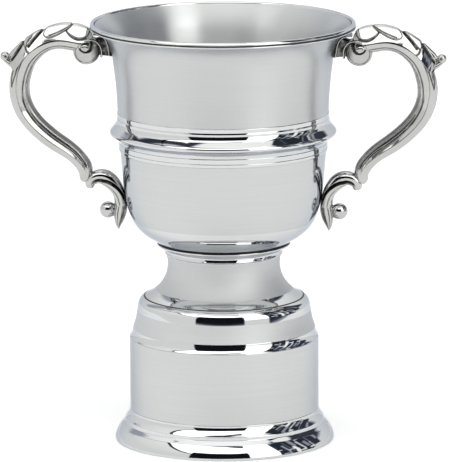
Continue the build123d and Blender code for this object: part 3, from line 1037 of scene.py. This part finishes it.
def lower_scroll():
    """Bracket from the lug of the rail, over and down to the wall, with a flute painted dark as shade."""
    stations = [
        (56.9, 109.3, 3.9, 6.0), (56.4, 111.0, 4.9, 6.6), (54.9, 112.4, 5.4, 7.2),
        (52.6, 113.0, 6.0, 7.4), (49.9, 112.3, 6.6, 7.4), (47.2, 110.1, 6.3, 7.4),
        (45.1, 107.0, 5.4, 7.2), (44.1, 103.5, 5.1, 6.8), (43.7, 100.6, 5.1, 6.4),
    ]
    # the flute and the crease are painted dark as shade
    flute = [
        (0.0, 0.3, 0.5, 0.0, 1.0, 0.0), (0.12, 0.16, 0.56, 0.14, 1.0, 0.0),
        (0.36, 0.08, 0.58, 0.3, 1.0, 0.0), (0.6, -0.44, 0.08, 0.34, 1.0, 0.0),
        (0.78, -0.8, -0.36, 0.3, 1.0, 0.0), (0.88, -0.9, -0.56, 0.1, 1.0, 0.0),
        (1.0, -0.9, -0.6, 0.0, 1.0, 0.0),
    ]
    under = [
        (0.0, 0.8, 0.05, 0.0, 0.0), (0.3, 0.8, 0.05, 0.03, 0.4), (0.6, 0.55, 0.06, 0.05, 0.5),
        (0.85, 0.2, 0.07, 0.08, 0.7), (1.0, 0.1, 0.07, 0.08, 0.7),
    ]
    return bar(stations, flute, [under], noses=(1.5, 0.0), count=160)


def tail_leaf():
    """Pointed leaf below the wall contact, with grooves that run to its tip."""
    stations = [
        (43.6, 102.6, 4.6, 6.0), (43.9, 99.6, 5.5, 6.4), (44.3, 96.6, 5.2, 5.8), (44.7, 93.8, 3.7, 4.6),
        (44.9, 91.9, 2.1, 3.0), (44.85, 90.7, 0.9, 1.6),
    ]
    # the flute and the grooves are painted dark as shade
    flute = [
        (0.0, -0.75, -0.35, 0.0, 0.2, 0.2), (0.2, -0.75, -0.3, 0.22, 0.2, 0.2),
        (0.6, -0.7, -0.25, 0.26, 0.2, 0.2), (0.9, -0.5, -0.1, 0.12, 0.2, 0.2),
        (1.0, -0.4, -0.1, 0.0, 0.2, 0.2),
    ]
    vein = [
        (0.0, 0.2, 0.06, 0.08, 0.6), (0.5, 0.3, 0.07, 0.12, 0.8), (0.9, 0.2, 0.08, 0.04, 0.5),
        (1.0, 0.1, 0.08, 0.0, 0.0),
    ]
    edge = [
        (0.0, 0.62, 0.06, 0.06, 0.5), (0.5, 0.72, 0.07, 0.08, 0.7), (1.0, 0.6, 0.08, 0.0, 0.3),
    ]
    return bar(stations, flute, [vein, edge], noses=(0.5, 0.4), count=120)


def lower_ball():
    """Round bead on a short neck beside the tail leaf."""
    neck = [(47.6, 99.3, 3.0, 3.4), (46.4, 100.2, 2.2, 2.8), (45.0, 101.6, 2.4, 3.2)]
    points, faces, _ = bar(neck, PLAIN, noses=(0.3, 0.3), count=24)
    # the neck is painted dark as shade
    return together([(points, faces, np.full(len(points), 0.6)), ball((49.3, 98.7), 3.55)])


# ---- assembly

def build_trophy():
    """Every turned piece, every casting twice, and the finishes of the CAD's own shapes."""
    turned = [cup_bowl, rim_wire, girdle_band, stem_collar, stem, shoulder, plinth_band, foot_moulding]
    for make in turned:
        make()
    castings = {
        "handle_rail": handle_rail,
        "handle_volute": handle_volute,
        "handle_socket": handle_socket,
        "acanthus_leaf": acanthus_leaf,
        "leaf_curl": leaf_curl,
        "lower_scroll": lower_scroll,
        "tail_leaf": tail_leaf,
        "lower_ball": lower_ball,
    }
    for name, make in castings.items():
        on_both_sides(name, make(), CAST)
    carried = {
        "bowl_boss": SATIN,
        "tie_stud": STEEL,
        "pressure_plate": STEEL,
        "stud_washer": STEEL,
        "stud_nut": STEEL,
        "closing_disc": SATIN,
        "baize_pad": BAIZE,
    }
    for name, material in carried.items():
        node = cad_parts[name]
        if not node.material_slots:
            node.data.materials.append(material)
        for material_slot in node.material_slots:
            material_slot.material = material


# ---- studio

CAMERA_AZIMUTH = 3.7
CAMERA_ELEVATION = 11.27
CAMERA_DISTANCE = 2.457
CAMERA_ROLL = 0.27
CAMERA_SHIFT = (0.0028, -0.0015)
LENS = 449.6
LIGHT = 2.6                     # brightness of the ceiling light and the softbox

# What the polished parts reflect, in degrees: azimuth from and to, elevation from and to, and
# softness, then brightness. Azimuth 0 is towards the camera and grows to the picture's right.
CARDS = [
    ((-38, 27, 2.5, 37, 0.6), 0.012),     # dark end of the room, behind the camera
    ((27.5, 62, 6, 57, 0.6), LIGHT),      # softbox, right
    ((62, 110, 0, 50, 1.2), 0.045),       # dark side of the room, right
    ((110, 123, 8, 50, 1.2), 0.06),       # its far end
    ((120, 142, 18, 80, 2.5), 0.08),      # tall corner beyond that
    ((-147, -128, 22, 76, 3.5), 0.55),    # far left corner
    ((75, 100, 49, 63, 1.2), 0.05),       # taller part of the dark side
    ((-116, -101, 60, 78, 1.5), 0.4),     # high dark curtain, left
]
# Things that stand in the dark side: azimuth from and to, elevation from and to, brightness.
SHELF_STRIPES = [
    (73, 76, 4, 40, 0.55), (79, 80.5, 12, 44, 0.25), (83, 88, 2, 30, 1.3), (86, 91, 30, 44, 0.5),
    (94, 97, 6, 36, 0.9), (101, 106, 14, 30, 0.45), (108, 110, 0, 24, 0.7), (120, 124, 20, 40, 0.5),
    (63, 68, 27, 30, 0.9), (66, 72, 9, 12, 1.2), (75, 83, 21, 24, 1.3), (88, 95, 8, 11, 1.1),
    (96, 105, 37, 40, 0.9), (103, 110, 7, 10, 1.1),
]


def studio_world():
    """Pale surround with the lights and dark cards that the polished parts reflect."""
    world = bpy.data.worlds.new("studio")
    bpy.context.scene.world = world
    world.use_nodes = True
    tree = world.node_tree
    background = next(n for n in tree.nodes if n.type == "BACKGROUND")
    place = add(tree, "ShaderNodeTexCoord")
    split = add(tree, "ShaderNodeSeparateXYZ")
    link(tree, place.outputs["Generated"], split.inputs[0])

    times, plus, less = (partial(calculate, tree, kind) for kind in ("MULTIPLY", "ADD", "SUBTRACT"))
    turn = calculate(tree, "ARCTAN2", split.outputs["X"], times(split.outputs["Y"], -1.0))
    azimuth = less(times(turn, 180 / math.pi), CAMERA_AZIMUTH)
    elevation = times(calculate(tree, "ARCSINE", split.outputs["Z"]), 180 / math.pi)

    def band(value, low, high, soft):
        """1 between two values and 0 outside them."""
        entering = spread(tree, value, low - soft, low + soft, 0.0, 1.0)
        leaving = spread(tree, value, high - soft, high + soft, 1.0, 0.0)
        return times(entering, leaving)

    def beyond(value, limit, slope):
        """How far a value has passed a limit, times a slope."""
        return times(calculate(tree, "MAXIMUM", less(value, limit), 0.0), slope)

    def replaced(level, mask, brightness):
        """level with a brightness in its place where mask is 1."""
        return plus(times(level, less(1.0, mask)), times(mask, brightness))

    # level along the drooping edges of the ceiling light, and along the lower edge of its left end
    leftward = times(azimuth, -1.0)
    drooping = plus(elevation, beyond(azimuth, 0.0, 0.2))
    drooping = plus(drooping, beyond(leftward, 58.0, 0.4))
    drooping = plus(drooping, beyond(leftward, 116.0, 0.5))
    climbing = less(elevation, beyond(leftward, 38.0, 0.36))
    light = times(band(azimuth, -36, 64, 2.0), band(drooping, 38, 57.5, 0.8))
    dark_edge = times(band(azimuth, -136, 30, 2.0), band(drooping, 58, 62.5, 0.8))
    left_end = times(band(azimuth, -88, -36, 1.0), band(climbing, 31.5, 70, 0.6))
    left_end = times(left_end, band(drooping, 0, 58, 0.6))
    ledge = times(band(azimuth, -90, -37, 0.8), band(climbing, 28.6, 31.8, 0.5))

    level = spread(tree, elevation, 20.0, 78.0, 0.97, 1.42)     # brighter towards the top
    level = replaced(level, light, LIGHT)
    level = replaced(level, dark_edge, 0.06)
    level = replaced(level, left_end, LIGHT)
    level = times(level, less(1.0, times(ledge, 0.97)))
    stripes = [((*patch, 0.7), brightness) for *patch, brightness in SHELF_STRIPES]
    for (low_a, high_a, low_e, high_e, soft), brightness in CARDS + stripes:
        mask = times(band(azimuth, low_a, high_a, soft), band(elevation, low_e, high_e, soft))
        level = replaced(level, mask, brightness)
    lit = calculate(tree, "MINIMUM", level, 1.0)
    tint = tinted(tree, lit, (0.62, 0.72, 1.0), (1.0, 1.0, 0.985))
    fill(background, {"Color": tint, "Strength": level})


def studio_floor():
    """Wide plain white table top."""
    bpy.ops.mesh.primitive_circle_add(vertices=96, radius=9.0, fill_type="NGON")
    floor = bpy.context.object
    floor.name = "studio_floor"
    material, _, shader = new_material("white_floor")
    fill(shader, {
        "Base Color": (0.86, 0.86, 0.86, 1),
        "Roughness": 0.9,
        "Emission Color": (1, 1, 1, 1),
        "Emission Strength": 0.24,
    })
    floor.data.materials.append(material)


def studio_camera():
    """Camera at the photograph's angle, aimed at the middle of the trophy."""
    low, high = CAD_BOX
    target = Vector((0, 0, 0.5 * (low.z + high.z)))
    a, e = math.radians(CAMERA_AZIMUTH), math.radians(CAMERA_ELEVATION)
    back = Vector((math.sin(a) * math.cos(e), -math.cos(a) * math.cos(e), math.sin(e)))
    data = bpy.data.cameras.new("camera")
    data.lens = LENS
    data.clip_start, data.clip_end = 0.1, 50
    camera = bpy.data.objects.new("camera", data)
    bpy.context.scene.collection.objects.link(camera)
    camera.rotation_mode = "QUATERNION"
    camera.location = target + back * CAMERA_DISTANCE
    aim = (-back).to_track_quat("-Z", "Y").to_matrix()
    roll = Matrix.Rotation(math.radians(-CAMERA_ROLL), 3, "Z")
    camera.rotation_quaternion = (aim @ roll).to_quaternion()
    data.shift_x, data.shift_y = CAMERA_SHIFT
    bpy.context.scene.camera = camera


studio_world()
studio_floor()
studio_camera()
bpy.context.scene.view_settings.view_transform = "Standard"
build_trophy()
